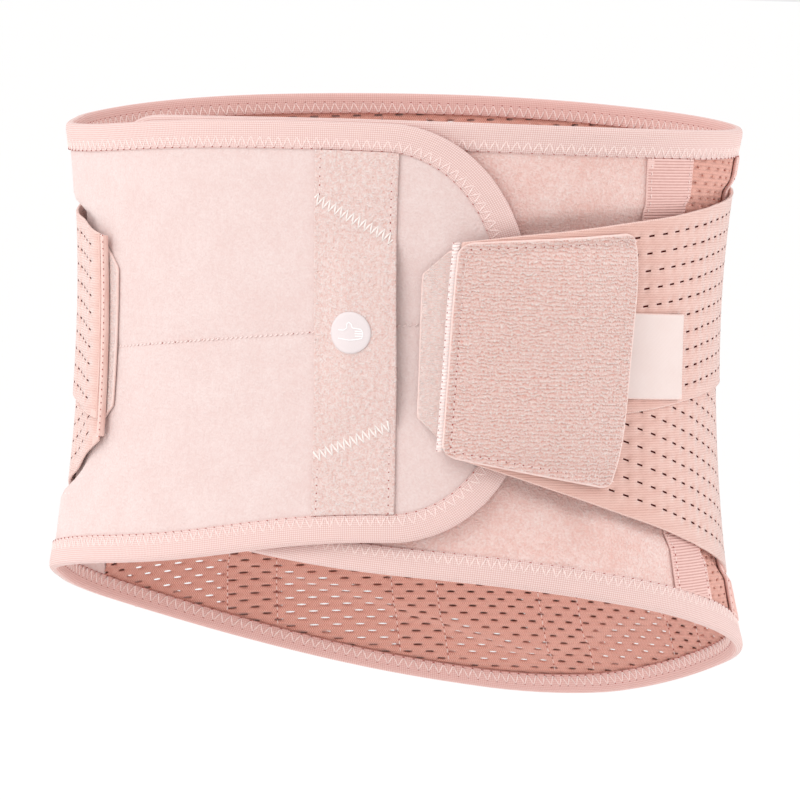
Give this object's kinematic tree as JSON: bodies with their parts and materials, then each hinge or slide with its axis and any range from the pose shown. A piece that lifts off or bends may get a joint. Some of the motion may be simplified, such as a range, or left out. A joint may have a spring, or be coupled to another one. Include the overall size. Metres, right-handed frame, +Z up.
{
  "type": "lumbar support belt",
  "caption": "Lumbar support belt fastened as worn: fleece front panels, mesh back with stay channels, bound edges and two slotted elastic straps on hook-and-loop ends.",
  "frame": {"origin": "middle of the waist that the belt closes round, about level with the disc on the hand patch", "axes": "+Z up as worn, -Y the wearer's front, +X the wearer's left"},
  "size_m": [0.2967, 0.2493, 0.2582],
  "materials": {
    "fleece": "brushed loop fleece, matte",
    "mesh": "knitted open mesh, matte",
    "binding": "elastic edge tape with zigzag stitch",
    "elastic": "slotted elastic webbing, matte",
    "nap": "napped knit, matte",
    "hook": "hook tape, matte",
    "grosgrain": "ribbed grosgrain tape, soft sheen",
    "satin": "satin ribbon",
    "disc": "soft moulded transfer, satin",
    "thread": "overlock thread, matte"
  },
  "bodies": {
    "root": {"back_panel": "mesh", "inner_front_panel": "fleece", "outer_front_panel": "fleece", "edge_binding": "binding", "flap_hook_panel": "hook", "hand_patch": "nap", "patch_disc": "disc", "right_side_tape": "grosgrain", "left_side_tape": "grosgrain", "stay_channel_1": "elastic", "stay_channel_2": "elastic", "stay_channel_3": "elastic", "stay_channel_4": "elastic", "stay_channel_5": "elastic", "left_hook_pad": "hook", "left_lower_band": "elastic", "left_upper_band": "elastic", "left_end_strip": "thread", "right_hook_pad": "hook", "right_lower_band": "elastic", "right_upper_band": "elastic", "right_end_strip": "thread", "centre_back_strip": "grosgrain", "pull_pocket": "nap", "side_label": "satin"}
  },
  "joints": []
}
